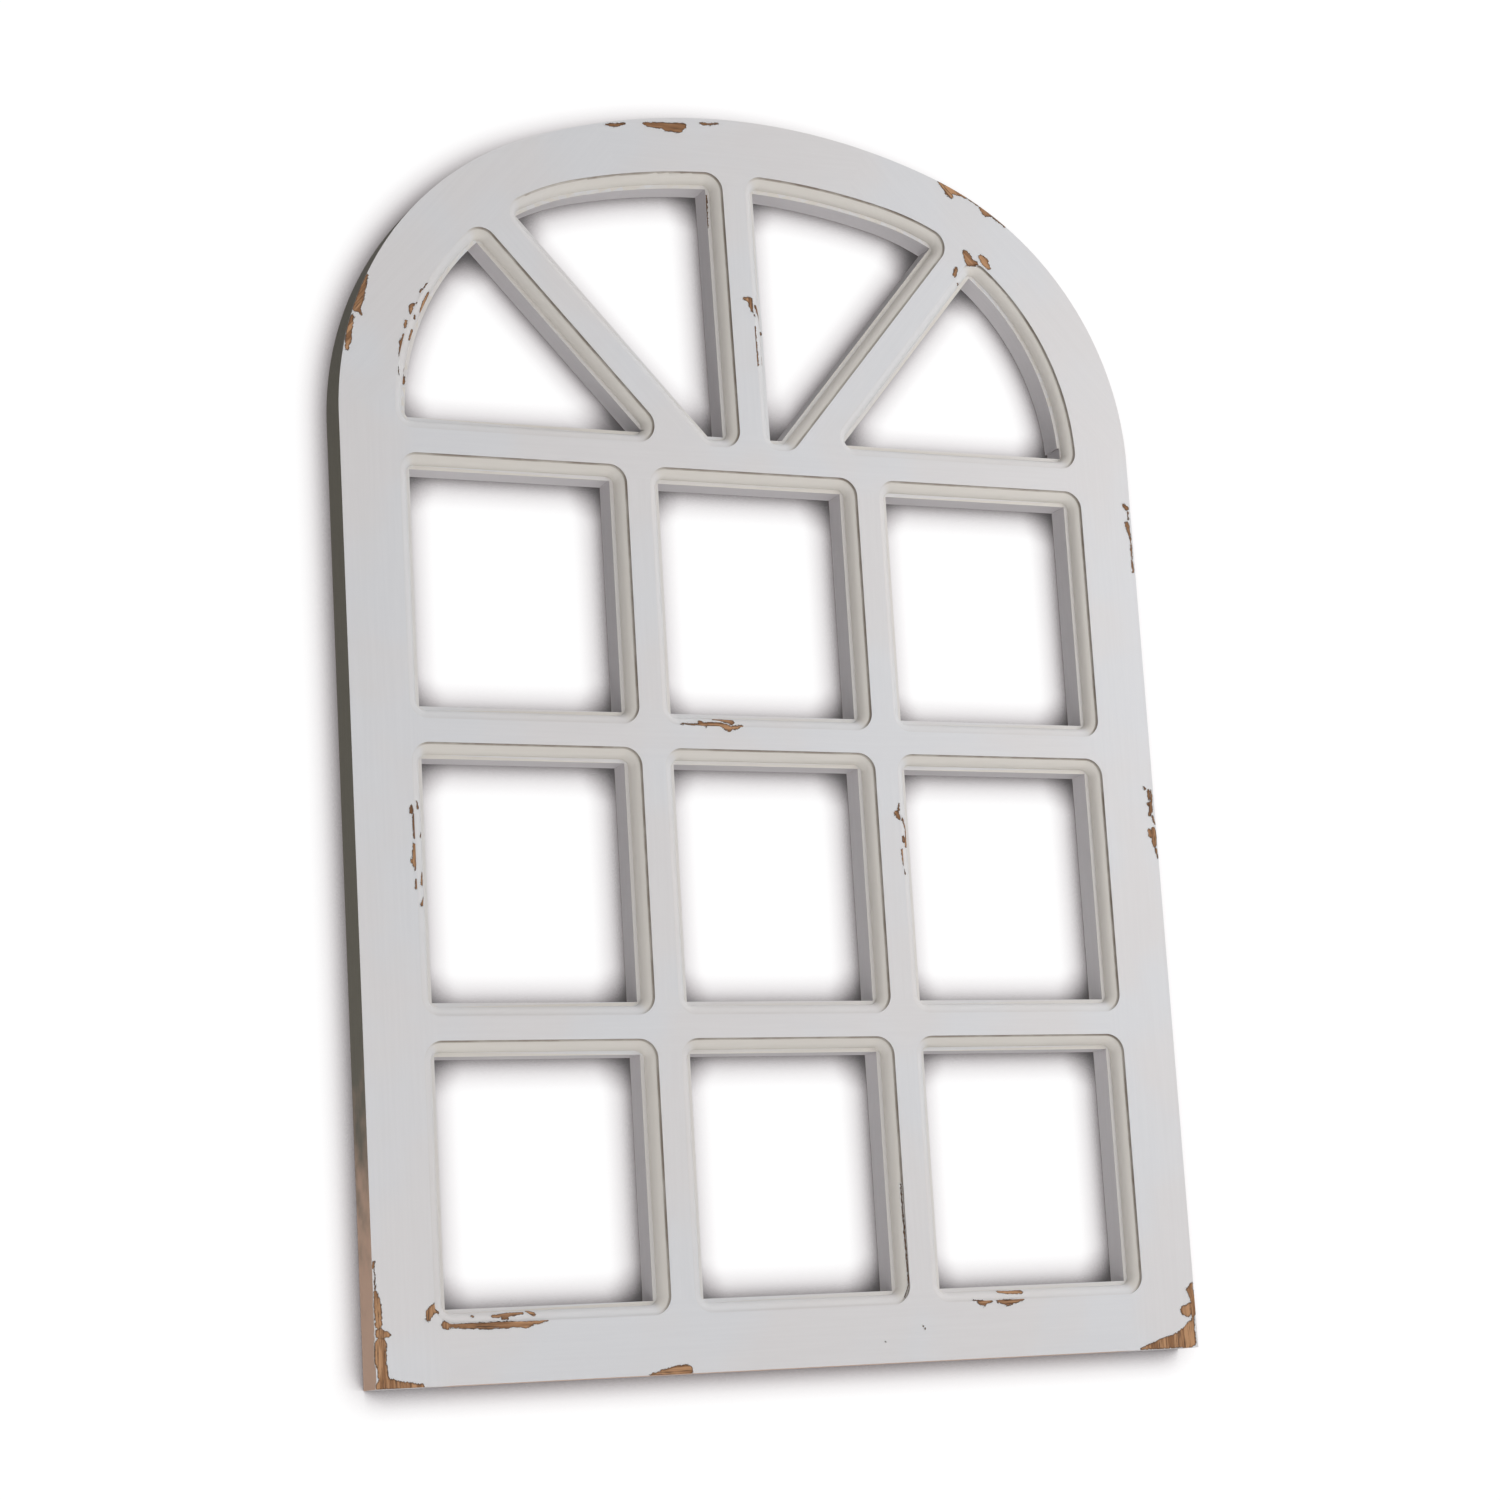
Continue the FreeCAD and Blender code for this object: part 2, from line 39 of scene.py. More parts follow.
# Worn places, picked on the photo. A stroke is a run of points (x, y, radius) in the
# photo's pixels; lay_on_frame() finds where each of them lies on the members.
WORN_PLACES = {
    "crown_edge": [
        [(606, 124.5, 1.0), (616, 125, 1.6), (625, 123.5, 0.8)],
        [(643.5, 123.5, 1.2), (652, 125, 2.6), (664, 125.5, 3.2)],
        [(666, 127, 3.8), (678, 128, 4.4)],
        [(678, 127.5, 4.2), (683, 126, 3.0)],
        [(700, 123.4, 0.8), (706, 124.3, 1.3)],
        [(706, 124.3, 1.2), (718, 123.7, 0.6)],
    ],
    "right_arch_edge": [
        [(939, 182.5, 1.0), (948, 190, 4.0)],
        [(948, 192, 3.4), (951, 196, 2.2)],
        [(951, 190, 3.2), (959, 194, 1.8)],
        [(959, 194, 1.6), (968, 196.5, 0.8)],
        [(968, 197, 0.7), (979, 204, 0.7)],
        [(980, 208, 1.2), (985, 212.5, 3.2)],
        [(985, 213, 3.0), (991, 215, 1.6)],
        [(992, 216.5, 1.1), (1005, 226, 0.8)],
    ],
    "right_fan_corner": [
        [(965.5, 253, 2.8), (969, 261, 4.2)],
        [(969, 262, 3.6), (976, 264, 2.6)],
        [(981, 257.5, 2.6), (985, 261, 3.2)],
        [(984, 262, 3.2), (989, 268, 1.6)],
        [(956, 269, 1.8), (954.5, 275, 1.8)],
        [(957.5, 284, 0.9), (958, 285, 0.8)],
    ],
    "centre_spoke": [
        [(743.5, 298.5, 1.1), (750, 300, 2.6)],
        [(750, 301, 2.5), (752, 311, 1.1)],
        [(752.3, 311, 1.0), (754.6, 316, 0.6)],
        [(755.5, 306.5, 1.1), (757, 312, 1.7)],
        [(757.6, 314, 1.0), (761, 335, 1.0)],
        [(755, 327, 0.7), (758, 365, 0.9)],
        [(761.5, 358, 1.1), (762, 365, 1.1)],
    ],
    "right_edge_high": [
        [(1123, 505, 1.2), (1126.5, 508, 2.2)],
        [(1127.5, 512, 0.7), (1128.3, 520, 0.7)],
        [(1126.5, 523.5, 2.0), (1127.5, 526, 2.2)],
        [(1127.8, 529, 1.8), (1129.5, 536, 1.2)],
        [(1130.3, 538, 0.8), (1132, 560, 0.7), (1133, 572, 1.0)],
    ],
    "left_arch_edge": [
        [(367, 275, 1.2), (364, 284, 2.2)],
        [(364, 284, 2.4), (360, 298, 3.6)],
        [(360, 298, 3.4), (356.5, 308, 3.6)],
        [(358, 309, 2.4), (359.5, 311, 2.2)],
        [(361, 313.5, 1.2), (361.5, 314.5, 1.0)],
        [(352.5, 316, 1.8), (349.5, 328, 2.6), (348, 340, 2.8)],
        [(348, 340, 2.6), (346.8, 348, 2.0)],
    ],
    "left_fan_moulding": [
        [(426, 284, 1.1), (421, 292, 1.5)],
        [(428, 294, 2.0), (424, 303, 3.2)],
        [(424, 303, 3.0), (420.5, 311, 2.0)],
        [(416, 303, 0.9), (411, 306, 2.0), (411, 313, 1.4)],
        [(414.5, 316, 1.1), (414.7, 319, 1.0)],
        [(406, 321.5, 1.6), (405, 327, 1.2)],
        [(412, 331, 2.0), (409.5, 339, 2.0)],
        [(404, 335, 0.9), (401, 342, 1.7)],
        [(401, 342, 1.6), (400, 351, 1.0)],
        [(399.6, 353, 0.6), (398.6, 374, 0.6)],
        [(404, 370, 1.8), (403, 382, 2.0)],
    ],
    "upper_bar_middle": [
        [(681, 723.7, 0.7), (706, 725, 1.4)],
        [(700, 722.5, 2.4), (705, 725.5, 3.0)],
        [(708, 724, 2.0), (722, 725, 2.2)],
        [(713, 719.6, 1.0), (722, 720.5, 1.8), (731, 722, 3.0)],
        [(722, 726, 3.0), (729, 727.5, 3.6)],
        [(734, 727, 2.6), (742, 726.3, 1.3)],
    ],
    "row2_right_left_edge": [
        [(899, 803.5, 0.8), (898.5, 810, 1.0)],
        [(896.8, 813.5, 2.6), (899, 818.5, 1.6)],
        [(902.3, 819, 1.1), (905.4, 830, 1.2), (906, 846, 1.8)],
        [(903, 838, 2.0), (903.4, 841, 1.8)],
        [(902.5, 850, 1.5), (903.4, 862, 1.1)],
        [(903.4, 862, 1.0), (905, 874, 0.8)],
    ],
    "row2_left_left_edge": [
        [(411.5, 806, 1.2), (411.5, 812, 1.8)],
        [(413.5, 814, 1.0), (414.4, 837, 1.2)],
        [(414.5, 845, 1.5), (414, 861, 2.0)],
        [(411.6, 859.5, 1.3), (411.8, 862, 1.3)],
        [(414.5, 862, 2.0), (415.4, 870, 1.0)],
        [(416, 880, 1.0), (416.3, 888, 1.2)],
        [(422, 873, 1.0), (421.7, 884, 1.8)],
        [(416.8, 802, 0.8), (417.8, 808, 1.3)],
        [(420.8, 833, 0.8), (420.4, 837, 1.2)],
        [(423.2, 898, 0.8), (421.8, 904.5, 1.8)],
    ],
    "right_edge_mid": [
        [(1143.5, 787, 1.0), (1145, 789, 1.2)],
        [(1148.3, 791, 1.3), (1148.8, 799, 1.0)],
        [(1150.8, 790.5, 0.8), (1151, 800, 1.2)],
        [(1148, 803.5, 1.2), (1148.2, 805, 1.2)],
        [(1150.6, 803, 1.8), (1150.8, 812, 1.8)],
        [(1149.3, 813, 1.3), (1149.8, 815, 1.3)],
        [(1152.5, 817, 1.2), (1154.5, 824, 0.6)],
        [(1149.5, 831, 2.0), (1150.5, 835, 2.4)],
        [(1153.5, 829, 2.0), (1154.5, 845, 2.2)],
        [(1155.5, 849, 1.2), (1158, 858, 0.8)],
    ],
    "left_foot_edge": [
        [(373.6, 1262, 1.4), (373.2, 1268, 1.2)],
        [(374.6, 1270, 0.6), (375, 1289, 0.7)],
        [(375.6, 1292, 1.5), (377.5, 1304, 3.2), (378.8, 1325, 3.2)],
        [(380.5, 1334, 4.6), (388, 1334.7, 2.4)],
        [(380.8, 1344, 5.2), (380.4, 1361, 5.4)],
        [(381, 1361, 4.6), (383.4, 1377, 4.8)],
        [(377.6, 1387, 2.5), (384, 1383, 5.2)],
        [(384, 1383.5, 5.0), (400, 1385, 3.6)],
        [(400, 1385.3, 3.4), (422, 1386.6, 2.2)],
        [(422, 1386.6, 2.0), (438, 1387.3, 0.9)],
    ],
    "bottom_left_pane": [
        [(434, 1306, 2.4), (430, 1313, 4.0)],
        [(430, 1313, 3.6), (427.5, 1319.5, 1.8)],
        [(435, 1311, 2.0), (437.5, 1312.5, 1.2)],
        [(472, 1316.4, 1.4), (473, 1316.6, 1.4)],
        [(493, 1316.4, 1.6), (508, 1314.6, 2.6)],
        [(508, 1314.4, 2.5), (522, 1313, 1.5)],
        [(503, 1318, 1.5), (507, 1318, 1.5)],
        [(527, 1311.5, 1.8), (533, 1314, 2.4)],
        [(445.5, 1325, 3.8), (447, 1325.3, 3.8)],
        [(447, 1325.5, 2.5), (460, 1325.2, 2.2)],
        [(460, 1325.5, 2.6), (480, 1325.4, 3.0)],
        [(480, 1325.6, 3.4), (512, 1324, 3.2)],
        [(512, 1324, 3.0), (528, 1324.6, 3.0)],
        [(528, 1323.4, 2.4), (547, 1320.5, 1.1)],
    ],
    "bottom_edge": [
        [(650, 1374.6, 0.7), (662, 1373, 2.0)],
        [(662, 1373, 2.4), (676, 1371, 4.2)],
        [(676, 1371, 4.4), (688, 1369.6, 4.4)],
        [(688, 1370.6, 3.8), (694, 1373.4, 1.6)],
    ],
    "bottom_right_pane": [
        [(998, 1291.6, 1.9), (1006, 1292.2, 2.4)],
        [(1008, 1292.2, 2.0), (1020, 1291.6, 2.6)],
        [(974, 1301, 1.0), (984, 1302.8, 3.0)],
        [(984, 1302.2, 2.6), (992, 1300.4, 1.0)],
        [(997, 1300.2, 1.4), (1008, 1302.2, 3.4)],
        [(1008, 1302, 3.2), (1023, 1299.4, 1.2)],
    ],
    "right_foot_corner": [
        [(1191.5, 1284, 1.4), (1190, 1290, 3.2)],
        [(1190, 1290, 3.4), (1193.5, 1302, 2.5), (1193.5, 1313, 2.6)],
        [(1184.5, 1310, 4.0), (1187, 1312, 4.4)],
        [(1190.5, 1305.5, 2.6), (1188, 1307, 2.6)],
        [(1193, 1314, 1.6), (1193, 1322, 1.6)],
        [(1191, 1325, 4.0), (1188, 1333, 6.5)],
        [(1188, 1335, 7.5), (1179, 1340, 6.6)],
        [(1179, 1340.4, 6.2), (1162, 1343.6, 4.4)],
        [(1162, 1343.8, 4.2), (1150, 1346.8, 2.2), (1141.5, 1348.6, 1.0)],
        [(1191, 1341, 5.0), (1186, 1343, 5.5)],
    ],
    "specks": [
        [(922.6, 1325, 0.7), (923.4, 1326, 0.7)],
        [(925, 1328, 0.8), (925.4, 1328.6, 0.8)],
        [(885, 1341.6, 0.5), (885.6, 1342, 0.5)],
    ],
    "brown_line": [
        [(900.5, 1184, 0.6), (905, 1240, 0.8), (909, 1283, 0.8)],
        [(909, 1284, 0.7), (904.5, 1298, 0.7)],
    ],
    "fan_fillet_line": [
        [(706.2, 196, 0.8), (708, 228, 0.8)],
    ],
}
FINE_WEAR = ("specks", "brown_line", "fan_fillet_line")
PATCH_SWELL = 1.2           # the torn edge eats into a stroke, so it is laid on this much wider
SEARCH_REACHES = (0.0, 0.5, 1.0, 1.5, 2.0, 2.5, 3.0, 4.0, 5.0)   # pixels round a picked point
SEARCH_STEPS = 16
NO_PATCH_NEAR = 50.0        # distance from a patch on a member that has none

# Grain direction of each member in degrees from level, and the way its outer edge faces
MEMBERS = {
    "left_stile": (90.0, (-1.0, 0.0)),
    "right_stile": (90.0, (1.0, 0.0)),
    "bottom_rail": (0.0, (0.0, -1.0)),
    "transom": (0.0, None),
    "lower_cross_bar": (0.0, None),
    "upper_cross_bar": (0.0, None),
    "left_upright_bar": (90.0, None),
    "right_upright_bar": (90.0, None),
    "left_haunch": (47.8, (-0.74, 0.67)),
    "right_haunch": (132.2, (0.74, 0.67)),
    "crown": (0.0, (0.0, 1.0)),
    "left_spoke": (132.1, None),
    "centre_spoke": (90.7, None),
    "right_spoke": (50.0, None),
}

PAINT_COOL = (0.690, 0.690, 0.708, 1.0)
PAINT_WARM = (0.700, 0.680, 0.682, 1.0)
# warm tone painted as shade into the moulding on the sides turned from the window; also the colour of the
# paint daubs on the back
PAINT_DAUB_AND_WARM_SHADE = (0.690, 0.652, 0.603, 1.0)
# the reveals, deep in each light's recess, are painted darker as painted shade
REVEAL_PAINTED_SHADE = (0.520, 0.490, 0.500, 1.0)
# painted highlight on the curled paint round a bare patch
RIM_PAINTED_HIGHLIGHT = (0.860, 0.860, 0.860, 1.0)
# dark colour for grime and painted shade at the foot of the step, on the sides turned from the window
GRIME_AND_SHADE = (0.200, 0.150, 0.110, 1.0)
# dull dark paint on the outer sides, darkened further as painted shade
EDGE_PAINT_AND_SHADE = (0.162, 0.147, 0.115, 1.0)
EDGE_RUBBED = (0.575, 0.380, 0.280, 1.0)
WOOD_TAN = (0.500, 0.275, 0.140, 1.0)
WOOD_BROWN = (0.270, 0.132, 0.060, 1.0)
WOOD_DARK = (0.075, 0.038, 0.022, 1.0)
BACK_LIGHT = (0.400, 0.270, 0.165, 1.0)
BACK_DARK = (0.210, 0.125, 0.070, 1.0)
DOWEL_LIGHT = (0.560, 0.390, 0.230, 1.0)
DOWEL_DARK = (0.420, 0.270, 0.150, 1.0)
ZINC = (0.560, 0.550, 0.530, 1.0)
ZINC_DULL = (0.330, 0.310, 0.280, 1.0)
WHITE = (1.0, 1.0, 1.0, 1.0)

# Scale of each pattern along its own X, Y and Z: under 1 draws it out, and the grain lies along X
BRUSH_STRETCH = (0.035, 1.0, 1.0)
FIBRE_STRETCH = (0.06, 1.0, 1.0)
TEAR_STRETCH = (0.6, 1.0, 1.0)
SCRATCH_STRETCH = (0.4, 3.0, 3.0)

# Relief in millimetres
BRUSH_RELIEF = 0.02
FIBRE_RELIEF = 0.30
BACK_FIBRE_RELIEF = 0.25
DOWEL_FIBRE_RELIEF = 0.1
SCRATCH_RELIEF = 0.02
COAT_OVER_WOOD = 0.50       # the bare wood lies this far below the paint
CURLED_RIM = 0.10           # the paint stands up this much at a patch

TEAR_REACH = (4.8, 1.4, 4.8)       # how far a patch's edge wanders
PATCH_EDGE = (-0.06, 0.08)
PATCH_SHADOW_WIDTH = 1.1         # width of the painted shadow inside a patch's edge, where the paint's thickness shades the wood
RUBBED_BELOW = 110.0        # height under which the outer edges are rubbed through
SOUND_ABOVE = 250.0
RUB_WANDER = 160.0

SHEEN = 0.35
ROUGH_PAINT = (0.50, 0.62)
ROUGH_BACK = 0.75
ROUGH_WOOD = 0.78
ROUGH_DOWEL = 0.7
ROUGH_ZINC = (0.28, 0.5)


# Directions of the camera's view
turn, tilt, roll = (math.radians(a) for a in (CAMERA_TURN_DEG, CAMERA_TILT_DEG, CAMERA_ROLL_DEG))
ahead = Vector((math.sin(turn) * math.cos(tilt), math.cos(turn) * math.cos(tilt), math.sin(tilt)))
level = Vector((math.cos(turn), -math.sin(turn), 0.0))
down = ahead.cross(level)
rolled_right = math.cos(roll) * level + math.sin(roll) * down
rolled_down = -math.sin(roll) * level + math.cos(roll) * down


def member_surfaces():
    """Search tree of each member's surface."""
    surfaces = {}
    for name in MEMBERS:
        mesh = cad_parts[name].data
        corners = [corner.co for corner in mesh.vertices]
        faces = [tuple(face.vertices) for face in mesh.polygons]
        surfaces[name] = BVHTree.FromPolygons(corners, faces)
    return surfaces


SURFACES = member_surfaces()


def seen_at(x, y):
    """The member, and the place on it, that the camera sees at a point of the photo."""
    aim = ahead * PHOTO_FOCAL
    aim = aim + rolled_right * (x - PHOTO_MIDDLE) + rolled_down * (y - PHOTO_MIDDLE)
    hits = []
    for name, surface in SURFACES.items():
        place, _, _, distance = surface.ray_cast(CAMERA_AT, aim.normalized())
        if place is not None:
            hits.append((distance, name, place))
    return min(hits, key=lambda hit: hit[0])[1:] if hits else None


def lay_on_frame(x, y, radius):
    """Member, place and radius in millimetres; a point picked just off an edge moves on to it."""
    for reach in SEARCH_REACHES:
        for step in range(SEARCH_STEPS):
            angle = math.tau * step / SEARCH_STEPS
            found = seen_at(x + reach * math.cos(angle), y + reach * math.sin(angle))
            if found:
                member, place = found
                size = radius * (place - CAMERA_AT).dot(ahead) / PHOTO_FOCAL
                return member, tuple(round(v * MM, 1) for v in place), round(size * MM, 1)
    raise ValueError("a worn place lies off the frame: %s, %s" % (x, y))


def bare_patches():
    """Tapered patches of bare wood on each member: from, radius, to, radius."""
    patches = {name: [] for name in MEMBERS}
    for worn, strokes in WORN_PLACES.items():
        swell = 1.0 if worn in FINE_WEAR else PATCH_SWELL
        for stroke in strokes:
            laid = [lay_on_frame(x, y, radius * swell) for x, y, radius in stroke]
            for (member, start, start_radius), (far_member, end, end_radius) in zip(laid, laid[1:]):
                for name in sorted({member, far_member}):
                    patches[name].append((start, start_radius, end, end_radius))
    return patches


BARE_PATCHES = bare_patches()


def put(tree, kind, inputs=None, **settings):
    """Adds a node; each input is a value or the output that feeds it."""
    made = tree.nodes.new(kind)
    for key, value in settings.items():
        setattr(made, key, value)
    for key, value in (inputs or {}).items():
        if isinstance(value, bpy.types.NodeSocket):
            tree.links.new(value, made.inputs[key])
        else:
            made.inputs[key].default_value = value
    return made


def number_of(tree, work, *values):
    inputs = dict(enumerate(values))
    return put(tree, "ShaderNodeMath", inputs, operation=work).outputs[0]


def vector_of(tree, work, *values, out=0):
    inputs = dict(enumerate(values))
    return put(tree, "ShaderNodeVectorMath", inputs, operation=work).outputs[out]


def ramp(tree, value, low, high, to_low=0.0, to_high=1.0, way="SMOOTHSTEP"):
    """Goes from to_low to to_high as the value goes from low to high."""
    inputs = {"Value": value, "From Min": low, "From Max": high, "To Min": to_low, "To Max": to_high}
    return put(tree, "ShaderNodeMapRange", inputs, interpolation_type=way).outputs[0]


def blend_colour(tree, share, under, over, work="MIX"):
    made = put(tree, "ShaderNodeMix", data_type="RGBA", blend_type=work)
    for socket, value in ((made.inputs[0], share), (made.inputs[6], under), (made.inputs[7], over)):
        if isinstance(value, bpy.types.NodeSocket):
            tree.links.new(value, socket)
        else:
            socket.default_value = value
    return made.outputs[2]


def speckle(tree, point, scale, detail=2.0, rough=0.5):
    inputs = {"Vector": point, "Scale": scale, "Detail": detail, "Roughness": rough}
    return put(tree, "ShaderNodeTexNoise", inputs).outputs


def place_in_mm(tree):
    where = put(tree, "ShaderNodeTexCoord").outputs["Object"]
    return vector_of(tree, "MULTIPLY", where, (MM, MM, MM))


def along_grain(tree, point, degrees):
    """The point with the grain turned to lie along X."""
    inputs = {"Vector": point, "Axis": (0.0, 1.0, 0.0), "Angle": math.radians(degrees)}
    return put(tree, "ShaderNodeVectorRotate", inputs, rotation_type="AXIS_ANGLE").outputs[0]


def make_patch_group():
    """Distance from a tapered bare patch, kept if it is nearer than the one before."""
    tree = bpy.data.node_groups.new("bare_patch", "ShaderNodeTree")
    sockets = (("Point", "Vector"), ("From", "Vector"), ("To", "Vector"))
    sockets += (("From Radius", "Float"), ("To Radius", "Float"), ("Nearest", "Float"))
    for name, kind in sockets:
        tree.interface.new_socket(name, in_out="INPUT", socket_type="NodeSocket" + kind)
    tree.interface.new_socket("Nearest", in_out="OUTPUT", socket_type="NodeSocketFloat")
    given = tree.nodes.new("NodeGroupInput").outputs
    span = vector_of(tree, "SUBTRACT", given["To"], given["From"])
    reach = vector_of(tree, "SUBTRACT", given["Point"], given["From"])
    along = vector_of(tree, "DOT_PRODUCT", reach, span, out=1)
    square = vector_of(tree, "DOT_PRODUCT", span, span, out=1)
    share = number_of(tree, "DIVIDE", along, square)
    share = number_of(tree, "MAXIMUM", number_of(tree, "MINIMUM", share, 1.0), 0.0)
    foot = put(tree, "ShaderNodeVectorMath", {0: span, 3: share}, operation="SCALE").outputs[0]
    away = vector_of(tree, "DISTANCE", reach, foot, out=1)
    taper = number_of(tree, "SUBTRACT", given["To Radius"], given["From Radius"])
    radius = number_of(tree, "MULTIPLY_ADD", taper, share, given["From Radius"])
    outside = number_of(tree, "SUBTRACT", away, radius)
    nearest = number_of(tree, "MINIMUM", outside, given["Nearest"])
    tree.links.new(nearest, tree.nodes.new("NodeGroupOutput").inputs[0])
    return tree


PATCH = make_patch_group()


def patch_distance(tree, point, patches):
    nearest = NO_PATCH_NEAR
    for start, start_radius, end, end_radius in patches:
        inputs = {
            "Point": point,
            "From": start,
            "To": end,
            "From Radius": start_radius,
            "To Radius": end_radius,
            "Nearest": nearest,
        }
        nearest = put(tree, "ShaderNodeGroup", inputs, node_tree=PATCH).outputs[0]
    return nearest


def new_material(name):
    made = bpy.data.materials.new(name)
    made.use_nodes = True
    made.node_tree.nodes.clear()
    return made, made.node_tree


def finish_material(tree, colour, roughness, height, metallic=0.0):
    """Principled shader fed by the colour, roughness and height (mm) worked out before."""
    relief = {"Strength": 1.0, "Distance": 1.0 / MM, "Height": height}
    bump = put(tree, "ShaderNodeBump", relief)
    inputs = {"Base Color": colour, "Roughness": roughness, "Metallic": metallic, "Normal": bump.outputs[0]}
    shader = put(tree, "ShaderNodeBsdfPrincipled", inputs)
    shader.inputs["Specular IOR Level"].default_value = SHEEN
    out = tree.nodes.new("ShaderNodeOutputMaterial")
    tree.links.new(shader.outputs[0], out.inputs[0])


def wood_fibres(tree, grain, light, middle, dark):
    """Colour and fibre height of bare timber with the grain along X."""
    stretched = vector_of(tree, "MULTIPLY", grain, FIBRE_STRETCH)
    strands = speckle(tree, stretched, scale=1.1, detail=4.0, rough=0.65)[0]
    broad = speckle(tree, stretched, scale=0.30, detail=3.0, rough=0.6)[0]
    colour = blend_colour(tree, ramp(tree, broad, 0.42, 0.58), middle, light)
    colour = blend_colour(tree, ramp(tree, strands, 0.52, 0.66, to_high=0.85), colour, dark)
    return colour, strands


def brushed_paint(tree, point, grain, depth, sunlit):
    """Broad cool and warm clouds, a painted warm shade in the moulding on the sides turned from the window,
    painted shade on the reveals, and brush marks along it.
    """
    clouds = speckle(tree, point, scale=0.011)[0]
    paint = blend_colour(tree, ramp(tree, clouds, 0.40, 0.60), PAINT_COOL, PAINT_WARM)
    in_moulding = ramp(tree, depth, FRONT_Y + 0.2, STEP_Y)
    # painted warm shade on the moulding's sides turned away from the window
    in_shade = ramp(tree, sunlit, -0.4, 0.4, 1.0, 0.15)
    warm_shade = number_of(tree, "MULTIPLY", in_moulding, in_shade)
    paint = blend_colour(tree, warm_shade, paint, PAINT_DAUB_AND_WARM_SHADE)
    # painted shade on the reveal behind the fillet
    on_reveal = ramp(tree, depth, FILLET_Y + 0.1, FILLET_Y + 0.6)
    paint = blend_colour(tree, on_reveal, paint, REVEAL_PAINTED_SHADE)
    brushed = vector_of(tree, "MULTIPLY", grain, BRUSH_STRETCH)
    strokes = speckle(tree, brushed, scale=0.55, detail=3.0, rough=0.55)[0]
    pale_marks = ramp(tree, strokes, 0.3, 0.75, to_high=0.05)
    return blend_colour(tree, pale_marks, paint, WHITE), strokes


def with_grime_and_shade(tree, paint, depth, sunlit, smudges):
    """Grime and painted shade lie in the foot of the step, thickest on the sides turned away from the
    window.
    """
    in_step = ramp(tree, depth, FRONT_Y + 0.1, FRONT_Y + 0.6)
    above_foot = ramp(tree, depth, STEP_Y + 0.03, STEP_Y + 0.18, 1.0, 0.0)
    in_step = number_of(tree, "MULTIPLY", in_step, above_foot)
    grime_and_shade = number_of(tree, "MULTIPLY", in_step, ramp(tree, sunlit, -0.7, 0.3, 1.0, 0.05))
    grime_and_shade = number_of(tree, "MULTIPLY", grime_and_shade, ramp(tree, smudges, 0.3, 0.7, 0.45, 0.8))
    return blend_colour(tree, grime_and_shade, paint, GRIME_AND_SHADE)


def with_outer_edge(tree, paint, normal, outward, height_up, smudges):
    """The outer edges have thin dull paint, darkened further as painted shade, rubbed through towards the
    foot.
    """
    towards = vector_of(tree, "DOT_PRODUCT", normal, (outward[0], 0.0, outward[1]), out=1)
    on_edge = ramp(tree, towards, 0.35, 0.6)
    ragged = number_of(tree, "MULTIPLY_ADD", smudges, RUB_WANDER, height_up)
    rubbed = ramp(tree, ragged, RUBBED_BELOW, SOUND_ABOVE, 1.0, 0.0)
    edge = blend_colour(tree, rubbed, EDGE_PAINT_AND_SHADE, EDGE_RUBBED)
    return blend_colour(tree, on_edge, paint, edge)


def aged_back(tree, point, grain):
    """Bare timber darkened with age, with paint only where the brush ran over."""
    colour, strands = wood_fibres(tree, grain, BACK_LIGHT, BACK_LIGHT, BACK_DARK)
    daubs = speckle(tree, point, scale=0.02, detail=4.0, rough=0.6)[0]
    overrun = ramp(tree, daubs, 0.65, 0.70)
    return blend_colour(tree, overrun, colour, PAINT_DAUB_AND_WARM_SHADE), strands


def distance_from_wear(tree, point, grain, name):
    """Distance from the member's bare patches, their edges torn along the grain."""
    stretched = vector_of(tree, "MULTIPLY", grain, TEAR_STRETCH)
    torn = speckle(tree, stretched, scale=0.75, detail=6.0, rough=0.8)[1]
    torn = vector_of(tree, "SUBTRACT", torn, (0.5, 0.5, 0.5))
    torn = vector_of(tree, "MULTIPLY", torn, TEAR_REACH)
    moved = vector_of(tree, "ADD", point, torn)
    return patch_distance(tree, moved, BARE_PATCHES[name])


